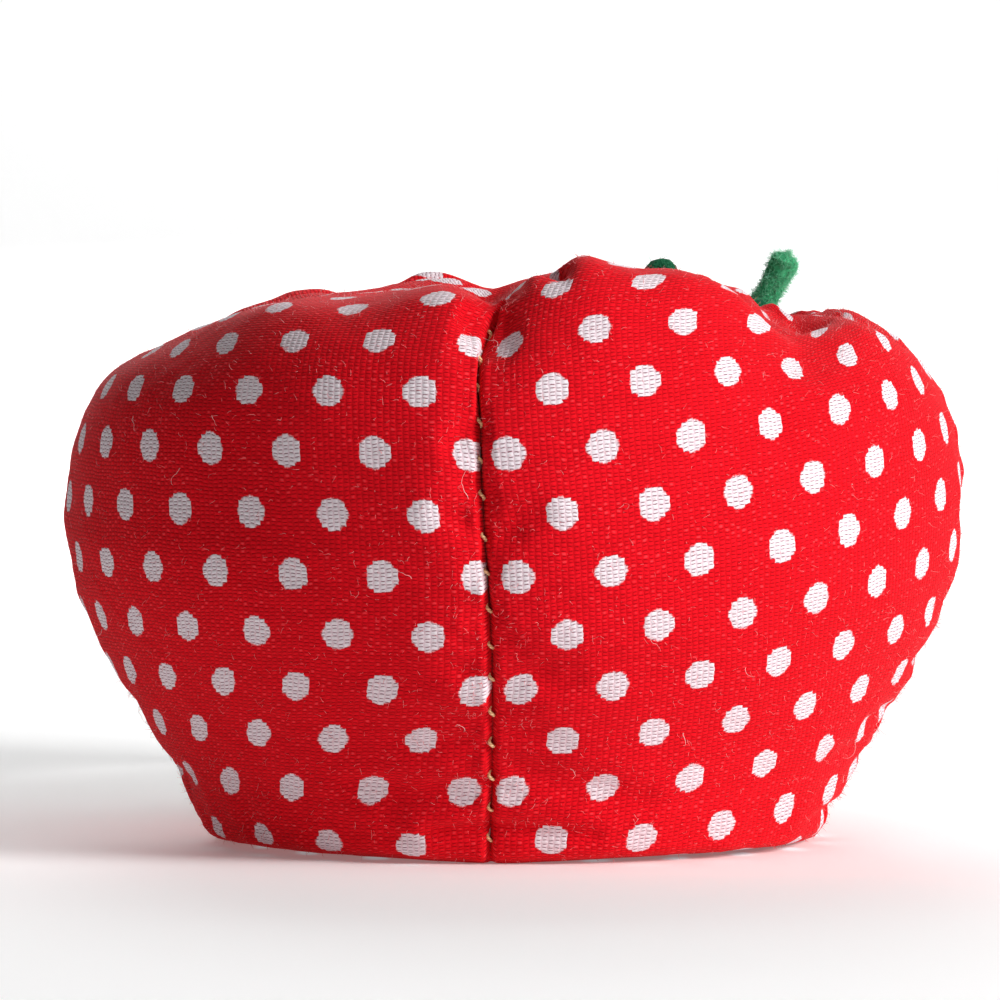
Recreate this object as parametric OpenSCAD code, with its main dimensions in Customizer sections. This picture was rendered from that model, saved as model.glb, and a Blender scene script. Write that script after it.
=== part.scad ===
/* [Cushion] */
// Half width of the stuffed body at its widest
half_w = 32.5; // [28:0.5:38]
// Depth of the body in front of its centre
front_d = 32; // [27:0.5:36]
// Depth that the round body would have behind its centre
back_d = 28; // [26:0.5:32]
// Distance of the flat wrist side behind the centre
wrist_y = 24; // [22:0.5:25]
// Height of the body without its calyx
body_h = 41.5; // [36:0.5:46]
// Height of the widest level
equator_z = 23; // [20:0.5:26]
// Half width of the flat base, as a share of half_w
base_share = 0.645; // [0.5:0.005:0.7]
// Depth of the gathered hollow at the top
hollow_d = 8; // [4:0.5:10]
// Centre of the gathered hollow, right of the middle
hollow_x = 12; // [0:0.5:14]
// Centre of the gathered hollow, behind the middle
hollow_y = 3; // [-4:0.5:6]

// Turn of the four seams about the upright axis
seam_turn = -4; // [-10:1:10]

/* [Fabric] */
// Wall of the gores with their seam allowance, as a share of the distance from the core
wall_share = 0.035; // [0.025:0.005:0.05]
// Half angle left open along each seam for its thread
seam_gap_deg = 0.6; // [0.4:0.1:1]
// Radius of the seam thread
seam_thread_r = 0.14; // [0.1:0.01:0.16]

/* [Calyx] */
// Thickness of the felt
felt_t = 1.5; // [1:0.1:2]
// Number of sepals
sepal_count = 5; // [4:1:7]
// Reach of a sepal's tip from the middle
sepal_tip = 11; // [8:0.5:13]
// Reach of the notch between two sepals from the middle
sepal_notch = 3.6; // [3:0.2:5]
// Length of the stem strip
stem_l = 6.5; // [5:0.5:8]
// Width of the stem strip
stem_w = 2.6; // [2:0.2:3]
// Thickness of the stem strip
stem_t = 1.9; // [1.4:0.1:2]
// Lean of the stem strip to the right
stem_lean = 26; // [0:1:30]

/* [Wrist side] */
// Width of the felt patch
patch_w = 34; // [30:1:36]
// Height of the felt patch
patch_h = 22; // [21:0.5:23]
// Corner radius of the felt patch
patch_r = 5; // [3:0.5:7]
// Width of the stiff guard plate
guard_w = 25; // [18:1:26]
// Height of the stiff guard plate
guard_h = 16; // [13:1:16]
// Thickness of the stiff guard plate
guard_t = 0.8; // [0.5:0.1:1]

/* [Wrist band] */
// Width of the elastic
band_w = 19; // [12:1:20]
// Thickness of the elastic
band_t = 1.2; // [0.8:0.1:1.5]
// Half length of the run that is sewn to the patch
run_half = 11; // [9:0.5:13]
// Radius of the ring where it turns away from the patch
root_r = 12; // [9:0.5:14]
// Length of the straight stretch at each side
side_l = 4; // [2:0.5:10]
// Height of the band's middle
band_z = 22.5; // [22:0.5:23]

/* [Hidden] */

tip_xy = [-2, 1];                 // where the gores meet underneath
top_xy = [hollow_x, hollow_y];    // where the gores meet at the top
core = [0.6 * top_xy[0], 0.6 * top_xy[1], equator_z - 2];  // point that the walls are scaled about
corner_share = 0.015;             // how far the lower corner stands out past the base, as a share
lower_n = 1.7;                    // how soon the lower half draws in below the equator
side_n = 2.9;                     // squareness of the upper half at the sides and behind
front_n = 4.2;                    // squareness of the upper half in front
corner_r = 1.2;                   // rounding between base and side
tip_open = 0.05;                  // opening left at the tip, as a share
top_open = 0.1;                   // opening left at the gathers, as a share
gather_level = 0.97;              // level of the gathering thread, as a share from the core
gather_reach = 0.9;               // distance of that thread inside the gathered opening
hollow_share = 0.45;              // reach of the hollow, as a share
lean_share = 0.95;                // where the gores start to lean in to the gathers
fill_gap = 0.02;                  // gap between wall and filling, as a share
cols = 12;                        // cells across one gore
thread_r = 0.25;                  // hand sewing thread
clear = 0.05;                     // air between touching pieces
calyx_gap = 0.7;                  // air under the felt, above the gathers
sepal_taper = 2.4;                // how sharply a sepal narrows to its tip
stem_gap = 1.6;                   // distance of the stem's middle from the notch behind it
stem_rise = 1.7;                  // height of the stem's foot above the skin
guard_air = 0.25;                 // air between the guard and the cotton
fill_air = 0.35;                  // air between the guard and the filling
stitch_l = 2.2;                   // length of one stitch of the band

// Share of the full width at a height below the equator
function lower_share(z) =
    let (t = 1 - z / equator_z)
    1 - (1 - corner_share - base_share) * (pow(t, lower_n) + (1 - cos(180 * t)) / 2) / 2;

// Squareness of the upper half at an angle, greatest straight in front
function squareness(angle) = side_n + (front_n - side_n) * pow(max(0, -sin(angle)), 2);

// Height of the upper skin at a share of the full width, and an angle
function upper_z(share, angle = 0) =
    let (
        n = squareness(angle),
        dome = pow(max(0, 1 - pow(share, n)), 1 / n),
        sunk = share < hollow_share ? (1 + cos(180 * share / hollow_share)) / 2 : 0
    )
    equator_z + (body_h - equator_z) * dome - hollow_d * sunk;

// Profile from the tip opening, over the side, to the gathered opening: [share, height],
// where the height of an upper row is left to the angle
upper = -1;
base_rows = [for (i = [0 : 3]) [tip_open + (base_share - tip_open) * i / 3, 0]];
side_rows = [for (z = [corner_r : 3 : equator_z - 1]) [lower_share(z), z]];
dome_rows = [for (a = [0 : 8 : 72]) [pow(cos(a), 2 / side_n), upper]];
rim_rows = [for (s = [0.38 : -0.07 : top_open]) [s, upper]];
profile = concat(base_rows, side_rows, dome_rows, rim_rows, [[top_open, upper]]);
last_row = len(profile) - 1;
first_side = len(base_rows);
last_thread = len(profile) - len(rim_rows) - 3;

// Section centre of a row: the gores lean in to the tip below and to the gathers above
function centre_of(share, z) =
    z <= 0 ? tip_xy * pow(1 - share / base_share, 2)
    : z > equator_z && share < lean_share
        ? top_xy * (1 + cos(180 * max(0, share - top_open) / (lean_share - top_open))) / 2
    : [0, 0];

// A point of the outer skin, at a share, a height and an angle, with the wrist side pressed flat
function skin(share, level, angle, flat = wrist_y) =
    let (
        z = level == upper ? upper_z(share, angle) : level,
        c = centre_of(share, z),
        d = sin(angle) < 0 ? front_d : back_d,
        x = c[0] + half_w * share * cos(angle),
        y = c[1] + d * share * sin(angle)
    )
    [x, min(y, flat), z];

function toward_core(p, share) = core + (p - core) * (1 - share);

// Closed sheet between two grids of points that have the same rows and columns
module sheet_between(outer, inner, closed = false) {
    rows = len(outer);
    n = len(outer[0]);
    steps = closed ? n : n - 1;
    count = rows * n;
    points = concat([for (r = outer) each r], [for (r = inner) each r]);
    out_faces = [for (i = [0 : rows - 2], j = [0 : steps - 1])
        let (k = (j + 1) % n, a = i * n + j, b = i * n + k, c = (i + 1) * n + k, d = (i + 1) * n + j)
        each [[a, c, b], [a, d, c]]];
    in_faces = [for (f = out_faces) [f[0] + count, f[2] + count, f[1] + count]];
    row_edges = [for (i = [0, rows - 1], j = [0 : steps - 1])
        let (k = (j + 1) % n, a = i * n + j, b = i * n + k, flip = i > 0)
        each flip
            ? [[a, b + count, b], [a, a + count, b + count]]
            : [[a, b, b + count], [a, b + count, a + count]]];
    column_edges = closed ? [] : [for (j = [0, n - 1], i = [0 : rows - 2])
        let (a = i * n + j, d = (i + 1) * n + j, flip = j > 0)
        each flip
            ? [[a, d, d + count], [a, d + count, a + count]]
            : [[a, d + count, d], [a, a + count, d + count]]];
    polyhedron(points, concat(out_faces, in_faces, row_edges, column_edges), convexity = 6);
}

// One gore of cotton, from start to start + 90 degrees
module gore(start) {
    from = start + seam_turn + seam_gap_deg;
    step = (90 - 2 * seam_gap_deg) / cols;
    outer = [for (p = profile) [for (j = [0 : cols]) skin(p[0], p[1], from + j * step)]];
    inner = [for (r = outer) [for (p = r) toward_core(p, wall_share)]];
    color([0.83, 0.06, 0.12])
        sheet_between(outer, inner);
}

// Tube of thread that runs up one seam, half way through the wall
module seam_thread(angle) {
    sides = 6;
    rows = [for (i = [first_side - 1 : last_thread]) profile[i]];
    middle = [for (p = rows) toward_core(skin(p[0], p[1], angle), wall_share / 2)];
    rings = [for (i = [0 : len(middle) - 1])
        let (
            a = middle[max(0, i - 1)],
            b = middle[min(len(middle) - 1, i + 1)],
            t = (b - a) / norm(b - a),
            u = [-sin(angle), cos(angle), 0],
            v = cross(t, u) / norm(cross(t, u)),
            w = cross(v, t)
        )
        [for (s = [0 : sides - 1])
            middle[i] + seam_thread_r * (cos(360 * s / sides) * w + sin(360 * s / sides) * v)]];
    last = (len(rings) - 1) * sides;
    walls = [for (i = [0 : len(rings) - 2], s = [0 : sides - 1])
        let (k = (s + 1) % sides, a = i * sides + s, b = i * sides + k)
        each [[a, b, b + sides], [a, b + sides, a + sides]]];
    caps = [[for (s = [sides - 1 : -1 : 0]) s], [for (s = [0 : sides - 1]) last + s]];
    color([0.9, 0.74, 0.5])
        polyhedron([for (r = rings) each r], concat(walls, caps), convexity = 6);
}

module gore_front_left() gore(180);
module gore_front_right() gore(270);
module gore_back_left() gore(90);
module gore_back_right() gore(0);

module seam_thread_front() seam_thread(270 + seam_turn);
module seam_thread_left() seam_thread(180 + seam_turn);
module seam_thread_right() seam_thread(seam_turn);
module seam_thread_back() seam_thread(90 + seam_turn);

// Stuffing, pressed flat behind the guard plate
module filling() {
    sides = 32;
    inside = wall_share + fill_gap;
    flat = core[1] + (guard_y - fill_air - core[1]) / (1 - inside);
    rows = concat([[0, 0]], [for (i = [1 : last_row - 1]) profile[i]], [[0, upper]]);
    rings = [for (p = rows) [for (j = [0 : sides - 1])
        toward_core(skin(p[0], p[1], 360 * j / sides, flat), inside)]];
    mid = [for (i = [1 : len(rings) - 2]) each rings[i]];
    n = len(mid);
    walls = [for (i = [0 : len(rings) - 4], j = [0 : sides - 1])
        let (k = (j + 1) % sides, a = i * sides + j, b = i * sides + k)
        each [[a, b + sides, b], [a, a + sides, b + sides]]];
    bottom = [for (j = [0 : sides - 1]) [n, j, (j + 1) % sides]];
    top = [for (j = [0 : sides - 1]) [n + 1, n - sides + (j + 1) % sides, n - sides + j]];
    color([0.95, 0.94, 0.9])
        polyhedron(concat(mid, [rings[0][0], rings[len(rings) - 1][0]]),
            concat(walls, bottom, top), convexity = 6);
}

// Ring of thread inside the gathered opening
module gather_thread() {
    color([0.85, 0.1, 0.15])
        translate([hollow_x, hollow_y, core[2] + (upper_z(top_open) - core[2]) * gather_level])
            rotate_extrude($fn = 48)
                translate([half_w * top_open - gather_reach, 0])
                    circle(r = thread_r, $fn = 16);
}

// A short stitch that lies along a direction in the plane of its own X and Y
module stitch(length, angle) {
    rotate([0, 0, angle])
        rotate([0, 90, 0])
            cylinder(h = length, r = thread_r, center = true, $fn = 16);
}

// Crossed stitches in the small opening at the tip
module tip_stitches() {
    reach = 2 * half_w * tip_open - 0.5;
    color([0.85, 0.1, 0.15])
        translate([tip_xy[0] * 0.85, tip_xy[1] * 0.85, 0.4])
            for (a = [0 : 60 : 120])
                stitch(reach, a);
}

// Share and angle at which a place on the top lies, found by halving the interval
function place_on_top(p, low = 0.001, high = 0.9, left = 16) =
    let (
        mid = (low + high) / 2,
        from_c = p - centre_of(mid, body_h),
        d = from_c[1] < 0 ? front_d : back_d,
        scaled = [from_c[0] / half_w, from_c[1] / d]
    )
    left == 0 ? [mid, atan2(scaled[1], scaled[0])]
    : norm(scaled) > mid ? place_on_top(p, mid, high, left - 1)
    : place_on_top(p, low, mid, left - 1);

// Height of the top skin at a place
function top_z(p) =
    let (at = place_on_top(p))
    upper_z(at[0], at[1]);

// Reach of the calyx at an angle, from the notch to the tip of a sepal
function sepal_reach(angle) =
    let (wave = (1 - cos(sepal_count * angle)) / 2)
    sepal_notch + (sepal_tip - sepal_notch) * pow(wave, sepal_taper);

// Felt calyx that lies in the hollow, in one piece
module calyx() {
    around = 50;
    start_r = 0.6;
    rows = 5;
    under = [for (i = [rows : -1 : 0]) [for (j = [0 : around - 1])
        let (
            a = 360 * j / around,
            r = start_r + (sepal_reach(a) - start_r) * i / rows,
            p = top_xy + r * [cos(a), sin(a)]
        )
        [p[0], p[1], top_z(p) + calyx_gap]]];
    over = [for (r = under) [for (p = r) p + [0, 0, felt_t]]];
    color([0.1, 0.5, 0.28])
        sheet_between(over, under, closed = true);
}

calyx_face = top_z(top_xy) + calyx_gap + felt_t;

// Small star of stitches in the middle of the calyx, above the hollow of the felt
module calyx_stitches() {
    reach = 3.4;
    rise = 0.45;
    color([0.05, 0.35, 0.18])
        translate([hollow_x, hollow_y, calyx_face + thread_r + rise])
            for (a = [0 : 60 : 120])
                stitch(reach, a);
}

stem_xy = [hollow_x + sepal_notch + stem_gap, hollow_y];
stem_foot = [stem_xy[0], stem_xy[1], top_z(stem_xy) + stem_rise];

// Strip of felt with round ends that stands up in a notch of the calyx and leans over the rim
module stem_strip() {
    end_r = stem_t / 2;
    shank = stem_l - stem_t;
    color([0.24, 0.63, 0.4])
        translate(stem_foot)
            rotate([90, 0, 0])
                rotate([0, 0, -stem_lean])
                    linear_extrude(height = stem_w, center = true)
                        union() {
                            translate([-end_r, 0])
                                square([stem_t, shank]);
                            for (end = [0, shank])
                                translate([0, end])
                                    circle(r = end_r, $fn = 32);
                        }
}

// Upright plate with round corners, from the depth y0 away from the cushion
module upright_plate(width, height, corner, thick, y0) {
    translate([0, y0 + thick, band_z])
        rotate([90, 0, 0])
            linear_extrude(height = thick)
                offset(r = corner, $fn = 48)
                    square([width - 2 * corner, height - 2 * corner], center = true);
}

guard_y = wrist_y - wall_share * (wrist_y - core[1]) - guard_t - guard_air;
patch_y = wrist_y + clear;
patch_face = patch_y + felt_t;
under_y = patch_face + clear;
over_y = under_y + band_t + clear;
band_face = over_y + band_t;

// Stiff plate between the filling and the cotton, which stops the pins
module needle_guard() {
    guard_r = 6;
    color([0.9, 0.9, 0.88])
        upright_plate(guard_w, guard_h, guard_r, guard_t, guard_y);
}

// Felt patch that carries the band
module wrist_patch() {
    color([0.12, 0.5, 0.3])
        upright_plate(patch_w, patch_h, patch_r, felt_t, patch_y);
}

// Stitches along the edge of the patch, clear of the band
module patch_stitches() {
    up = patch_h - 2 * patch_r;
    across = patch_w - 2 * patch_r;
    margin = (patch_h - band_w) / 2;
    edge = 1.1;
    whip_l = 1.6;
    rows = 3;
    columns = 6;
    color([0.1, 0.4, 0.22])
        translate([0, patch_face + thread_r + clear, band_z]) {
            for (side = [-1, 1], i = [0 : rows])
                translate([side * (patch_w / 2 - edge), 0, up * (i / rows - 0.5)])
                    stitch(whip_l, 0);
            for (side = [-1, 1], i = [0 : columns])
                translate([across * (i / columns - 0.5), 0, side * (band_w + margin) / 2])
                    rotate([0, 90, 0])
                        stitch(edge, 0);
        }
}

side_x = run_half + root_r;
ring_y = under_y + band_t / 2;
far_y = ring_y + root_r + side_l;

// Straight run of elastic from x0 to x1
module flat_run(x0, x1, y0) {
    translate([x0, y0, band_z - band_w / 2])
        cube([x1 - x0, band_t, band_w]);
}

// Arc of elastic around an upright axis
module arc_run(radius, from, sweep) {
    rotate([0, 0, from])
        rotate_extrude(angle = sweep, $fn = 96)
            translate([radius - band_t / 2, -band_w / 2])
                square([band_t, band_w]);
}

// The two ends of the elastic lap on the patch, and the outer one is a little shorter
module band_under_end() {
    color([0.93, 0.92, 0.9])
        flat_run(-run_half, run_half, under_y);
}

module band_over_end() {
    short = 1.5;
    color([0.95, 0.94, 0.92])
        flat_run(-run_half + short, run_half - short, over_y);
}

// Box of stitches with a cross, through both ends
module band_box_stitches() {
    box_w = 15;
    box_h = 12;
    pitch = 3;
    face = band_face + thread_r + clear;
    diagonal = norm([box_w, box_h]);
    color([0.3, 0.3, 0.32])
        translate([0, face, band_z]) {
            for (side = [-1, 1], x = [-box_w / 2 + pitch / 2 : pitch : box_w / 2])
                translate([x, 0, side * box_h / 2])
                    stitch(stitch_l, 0);
            for (side = [-1, 1], z = [-box_h / 2 + pitch / 2 : pitch : box_h / 2])
                translate([side * box_w / 2, 0, z])
                    rotate([0, 90, 0])
                        stitch(stitch_l, 0);
            for (side = [-1, 1], d = [-diagonal / 2 + pitch : pitch : diagonal / 2 - pitch / 2])
                rotate([0, side * atan2(box_h, box_w), 0])
                    translate([d, 0, 0])
                        stitch(stitch_l, 0);
        }
}

// Side of the ring: it turns away from the patch and runs back
module band_side(side) {
    color([0.92, 0.91, 0.89])
        mirror([side < 0 ? 1 : 0, 0, 0]) {
            translate([run_half + clear, ring_y + root_r, band_z])
                arc_run(root_r, -90, 90);
            translate([side_x + clear - band_t / 2, ring_y + root_r, band_z - band_w / 2])
                cube([band_t, side_l, band_w]);
        }
}

module band_left_side() band_side(-1);
module band_right_side() band_side(1);

// Far half of the ring, which goes round the wrist
module band_far_run() {
    color([0.92, 0.91, 0.89])
        translate([0, far_y + clear, band_z])
            arc_run(side_x + clear, 0, 180);
}

gore_front_left();
gore_front_right();
gore_back_left();
gore_back_right();
filling();
seam_thread_front();
seam_thread_left();
seam_thread_right();
seam_thread_back();
gather_thread();
tip_stitches();
calyx();
calyx_stitches();
stem_strip();
needle_guard();
wrist_patch();
patch_stitches();
band_under_end();
band_over_end();
band_box_stitches();
band_left_side();
band_right_side();
band_far_run();
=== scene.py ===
"""Looks of the wrist pin cushion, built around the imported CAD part. Lengths here are in millimetres
until a mesh is made, and the frame is the part's own: +Z up, +X right, -Y towards the viewer."""
import math

import bmesh
import bpy
import numpy as np
from mathutils import Matrix, Vector


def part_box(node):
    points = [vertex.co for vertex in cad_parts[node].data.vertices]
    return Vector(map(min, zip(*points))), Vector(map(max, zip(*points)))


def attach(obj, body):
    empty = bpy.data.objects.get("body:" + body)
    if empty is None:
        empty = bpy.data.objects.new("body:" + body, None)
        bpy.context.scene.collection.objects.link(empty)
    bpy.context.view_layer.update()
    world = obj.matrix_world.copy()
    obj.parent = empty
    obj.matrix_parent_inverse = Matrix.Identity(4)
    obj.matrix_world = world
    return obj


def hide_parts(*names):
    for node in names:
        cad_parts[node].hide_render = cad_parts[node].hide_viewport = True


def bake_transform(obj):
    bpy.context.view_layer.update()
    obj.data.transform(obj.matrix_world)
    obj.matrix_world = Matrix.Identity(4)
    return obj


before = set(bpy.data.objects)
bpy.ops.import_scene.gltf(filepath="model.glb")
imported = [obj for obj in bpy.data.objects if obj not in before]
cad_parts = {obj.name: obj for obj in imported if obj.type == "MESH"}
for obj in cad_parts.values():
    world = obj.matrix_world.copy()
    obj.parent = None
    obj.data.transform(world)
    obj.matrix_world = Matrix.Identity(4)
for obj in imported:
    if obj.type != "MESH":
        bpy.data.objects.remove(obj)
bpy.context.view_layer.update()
MM = 0.001


def box_mm(name):
    """Lower and upper corner of a CAD piece's box, in mm."""
    return [np.array(corner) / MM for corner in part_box(name)]


def new_object(name, data):
    """An object of that name in the scene, made of a mesh, a lamp or a camera."""
    obj = bpy.data.objects.new(name, data)
    bpy.context.scene.collection.objects.link(obj)
    return obj


def close_ends(mesh, cols):
    """Closes the first and the last row of a mesh made of rows of that many points."""
    work = bmesh.new()
    work.from_mesh(mesh)
    work.verts.ensure_lookup_table()
    last = len(work.verts) - cols
    for ring in (range(cols - 1, -1, -1), range(last, last + cols)):
        work.faces.new([work.verts[k] for k in ring]).smooth = False
    work.to_mesh(mesh)
    work.free()


# ---------------------------------------------------------------- camera, stage and light
VIEW_DISTANCE = 500.0
VIEW_WIDTH = 73.0
VIEW_TARGET = (-1.1, 0.0, 24.8)
VIEW_RISE = 2.0  # degrees above the horizontal
SENSOR = 36.0
LAMP_AIM = (0, 0, 24)
STUDIO_TONE = (0.93, 0.93, 0.93, 1)
# place, aim, width (mm) and watts of each lamp
LAMPS = {
    "key": ((500, -290, 260), LAMP_AIM, 240, 4.2),
    "back_fill": ((-60, 600, 260), LAMP_AIM, 320, 1.5),
    "top_fill": ((120, -160, 420), LAMP_AIM, 260, 0.25),
    "backdrop_wash": ((0, 700, 700), (0, 900, 250), 500, 2.8),
}


def add_camera():
    data = bpy.data.cameras.new("camera")
    data.sensor_width = SENSOR
    data.lens = SENSOR * VIEW_DISTANCE / VIEW_WIDTH
    data.clip_start = 0.01
    camera = new_object("camera", data)
    rise = math.radians(VIEW_RISE)
    back = Vector((0, -math.cos(rise), math.sin(rise)))
    camera.location = (Vector(VIEW_TARGET) + back * VIEW_DISTANCE) * MM
    camera.rotation_euler = back.to_track_quat("Z", "Y").to_euler()
    bpy.context.scene.camera = camera


def add_lamps():
    for name, (place, aim, size, power) in LAMPS.items():
        data = bpy.data.lights.new(name, "AREA")
        data.size = size * MM
        data.energy = power
        lamp = new_object(name, data)
        lamp.location = Vector(place) * MM
        away = Vector(place) - Vector(aim)
        lamp.rotation_euler = away.to_track_quat("Z", "Y").to_euler()
    view = bpy.context.scene.view_settings
    view.view_transform = "Standard"
    view.look = "None"
    view.exposure = 0.0


def add_world():
    """Weak light from all round. Past the end of the floor the studio itself looks pale."""
    world = bpy.data.worlds.new("world")
    world.use_nodes = True
    nodes, links = world.node_tree.nodes, world.node_tree.links
    light = nodes["Background"]
    light.inputs["Color"].default_value = (1.0, 0.985, 0.98, 1)
    light.inputs["Strength"].default_value = 0.05
    studio = nodes.new("ShaderNodeBackground")
    studio.inputs["Color"].default_value = STUDIO_TONE
    seen = nodes.new("ShaderNodeLightPath")
    either = nodes.new("ShaderNodeMixShader")
    links.new(seen.outputs["Is Camera Ray"], either.inputs[0])
    links.new(light.outputs[0], either.inputs[1])
    links.new(studio.outputs[0], either.inputs[2])
    links.new(either.outputs[0], nodes["World Output"].inputs["Surface"])
    bpy.context.scene.world = world


def add_stage():
    """Pale floor that curves up into a backdrop."""
    half, front, back, turn_r, top = 1500.0, -900.0, 900.0, 400.0, 1600.0
    steps = 12
    line = [(front, 0.0), (back - turn_r, 0.0)]
    for i in range(1, steps + 1):
        a = math.radians(90 * i / steps)
        line.append((back - turn_r + turn_r * math.sin(a), turn_r - turn_r * math.cos(a)))
    line.append((back, top))
    verts = [(x * MM, y * MM, z * MM) for y, z in line for x in (-half, half)]
    faces = [(2 * i, 2 * i + 1, 2 * i + 3, 2 * i + 2) for i in range(len(line) - 1)]
    mesh = bpy.data.meshes.new("backdrop")
    mesh.from_pydata(verts, [], faces)
    mesh.polygons.foreach_set("use_smooth", [True] * len(faces))
    stage = new_object("backdrop", mesh)
    material = bpy.data.materials.new("backdrop")
    material.use_nodes = True
    shader = material.node_tree.nodes["Principled BSDF"]
    shader.inputs["Base Color"].default_value = STUDIO_TONE
    shader.inputs["Roughness"].default_value = 0.9
    shader.inputs["Emission Color"].default_value = (1, 1, 1, 1)
    shader.inputs["Emission Strength"].default_value = 0.14
    mesh.materials.append(material)


# ---------------------------------------------------------------- node building
class Nodes:
    """Short names for building a shader tree. A value given to an input is a number or a socket."""

    def __init__(self, name):
        self.material = bpy.data.materials.new(name)
        self.material.use_nodes = True
        self.tree = self.material.node_tree
        self.shader = self.tree.nodes["Principled BSDF"]

    def add(self, kind, **settings):
        node = self.tree.nodes.new("ShaderNode" + kind)
        for key, value in settings.items():
            setattr(node, key, value)
        return node

    def feed(self, socket, value):
        if isinstance(value, bpy.types.NodeSocket):
            self.tree.links.new(value, socket)
        else:
            socket.default_value = value

    def math(self, operation, a, b=0.0, c=0.0, clamp=False):
        node = self.add("Math", operation=operation, use_clamp=clamp)
        for socket, value in zip(node.inputs, (a, b, c)):
            self.feed(socket, value)
        return node.outputs[0]

    def plus(self, a, b, clamp=False):
        return self.math("ADD", a, b, clamp=clamp)

    def minus(self, a, b):
        return self.math("SUBTRACT", a, b)

    def times(self, a, b):
        return self.math("MULTIPLY", a, b)

    def scaled(self, a, factor, start):
        return self.math("MULTIPLY_ADD", a, factor, start)

    def over(self, a, b):
        return self.math("DIVIDE", a, b)

    def size(self, a):
        return self.math("ABSOLUTE", a)

    def sine(self, a):
        return self.math("SINE", a)

    def combine(self, x, y, z=0.0):
        node = self.add("CombineXYZ")
        for socket, value in zip(node.inputs, (x, y, z)):
            self.feed(socket, value)
        return node.outputs[0]

    def uv(self, name):
        node = self.add("UVMap", uv_map=name)
        split = self.add("SeparateXYZ")
        self.feed(split.inputs[0], node.outputs[0])
        return node.outputs[0], split.outputs[0], split.outputs[1]

    def place(self):
        return self.add("TexCoord").outputs["Object"]

    def noise(self, vector, scale, detail=2.0, roughness=0.5):
        node = self.add("TexNoise")
        self.feed(node.inputs["Vector"], vector)
        self.feed(node.inputs["Scale"], scale)
        node.inputs["Detail"].default_value = detail
        node.inputs["Roughness"].default_value = roughness
        return node.outputs[0]

    def white(self, value, dimensions="1D"):
        node = self.add("TexWhiteNoise", noise_dimensions=dimensions)
        self.feed(node.inputs["W" if dimensions == "1D" else "Vector"], value)
        return node.outputs[0]

    def ramp(self, value, low, high, out_low=0.0, out_high=1.0):
        node = self.add("MapRange", interpolation_type="SMOOTHSTEP")
        for socket, v in zip(node.inputs, (value, low, high, out_low, out_high)):
            self.feed(socket, v)
        return node.outputs[0]

    def mix(self, factor, a, b):
        node = self.add("Mix", data_type="RGBA")
        self.feed(node.inputs[0], factor)
        self.feed(node.inputs[6], a)
        self.feed(node.inputs[7], b)
        return node.outputs[2]

    def bump(self, height, distance, strength):
        node = self.add("Bump")
        node.inputs["Strength"].default_value = strength
        node.inputs["Distance"].default_value = distance
        self.feed(node.inputs["Height"], height)
        return node.outputs[0]

    def finish(self, **inputs):
        for key, value in inputs.items():
            self.feed(self.shader.inputs[key.replace("_", " ")], value)
        return self.material


def rgb(r, g, b):
    return (r, g, b, 1.0)


# ---------------------------------------------------------------- printed cotton
DOT_ACROSS = 6.5  # pitch of the dots across and up, mm; one more stands in the middle of each four
DOT_UP = 8.5
DOT_R = 1.13
WARP = 0.44  # pitch of the upright threads, mm
WEFT = 0.277  # pitch of the level threads, mm


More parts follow.
